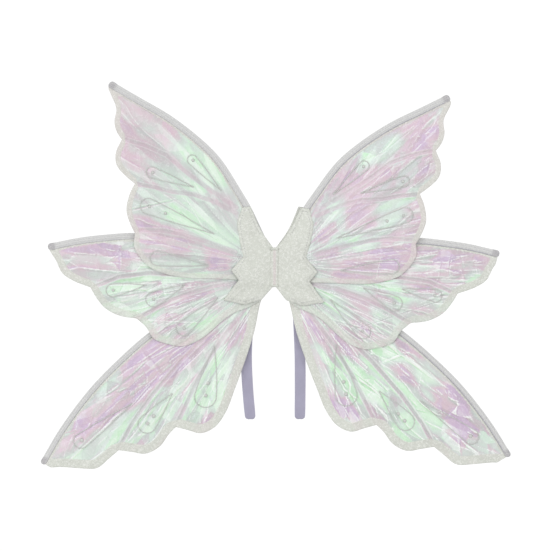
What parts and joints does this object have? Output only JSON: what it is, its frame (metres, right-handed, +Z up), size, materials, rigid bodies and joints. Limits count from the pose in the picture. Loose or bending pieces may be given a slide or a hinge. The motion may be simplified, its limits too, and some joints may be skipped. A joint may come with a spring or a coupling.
{
  "type": "fairy wings",
  "caption": "Costume fairy wings: overlapping iridescent film panels with wired leading edges, a glitter centre that folds, and elastic arm loops.",
  "frame": {"origin": "centre of the rear face of the centre band, which rests between the wearer's shoulder blades", "axes": "+Z up, +X to the viewer's right when seen from behind the wearer, +Y towards the wearer's back; the wings sweep back towards -Y"},
  "size_m": [0.5172, 0.0512, 0.4247],
  "materials": {
    "glitter_cloth": "pressed white cloth with a fine silver-white glitter coat",
    "window_film": "glossy wrinkled iridescent film, mint to lilac and pink",
    "edge_casing": "pressed grey-white edge tape with a light pearl sheen",
    "frame_wire": "drawn spring wire",
    "loop_elastic": "lavender-grey woven elastic",
    "sewing_thread": "lavender polyester thread",
    "seam_core": "stitched white cloth"
  },
  "bodies": {
    "centre": {"centre_band": "glitter_cloth", "root_seam": "seam_core"},
    "left_wings": {"left_upper_backing": "glitter_cloth", "left_upper_film": "window_film", "left_upper_casing": "edge_casing", "left_upper_wire": "frame_wire", "left_middle_backing": "glitter_cloth", "left_middle_film": "window_film", "left_middle_casing": "edge_casing", "left_middle_wire": "frame_wire", "left_lower_backing": "glitter_cloth", "left_lower_film": "window_film", "left_lower_casing": "edge_casing", "left_lower_wire": "frame_wire", "left_front_cover": "glitter_cloth", "left_rear_cover": "glitter_cloth", "left_loop_end": "loop_elastic", "left_loop_tack": "sewing_thread"},
    "left_loop": {"left_arm_loop": "loop_elastic"},
    "right_wings": {"right_upper_backing": "glitter_cloth", "right_upper_film": "window_film", "right_upper_casing": "edge_casing", "right_upper_wire": "frame_wire", "right_middle_backing": "glitter_cloth", "right_middle_film": "window_film", "right_middle_casing": "edge_casing", "right_middle_wire": "frame_wire", "right_lower_backing": "glitter_cloth", "right_lower_film": "window_film", "right_lower_casing": "edge_casing", "right_lower_wire": "frame_wire", "right_front_cover": "glitter_cloth", "right_rear_cover": "glitter_cloth", "right_loop_end": "loop_elastic", "right_loop_tack": "sewing_thread"},
    "right_loop": {"right_arm_loop": "loop_elastic"}
  },
  "joints": [
    {"name": "left_fold", "type": "hinge", "parent": "centre", "child": "left_wings", "pos_m": [0, -0.013, 0], "axis": [0, 0, 1], "range_deg": [-4, 80]},
    {"name": "left_loop_swing", "type": "hinge", "parent": "left_wings", "child": "left_loop", "pos_m": [-0.024, 0.0003, -0.0222], "axis": [1, 0, 0], "range_deg": [0, 150]},
    {"name": "right_fold", "type": "hinge", "parent": "centre", "child": "right_wings", "pos_m": [0, -0.013, 0], "axis": [0, 0, -1], "range_deg": [-4, 80]},
    {"name": "right_loop_swing", "type": "hinge", "parent": "right_wings", "child": "right_loop", "pos_m": [0.024, 0.0003, -0.0222], "axis": [1, 0, 0], "range_deg": [0, 150]}
  ]
}
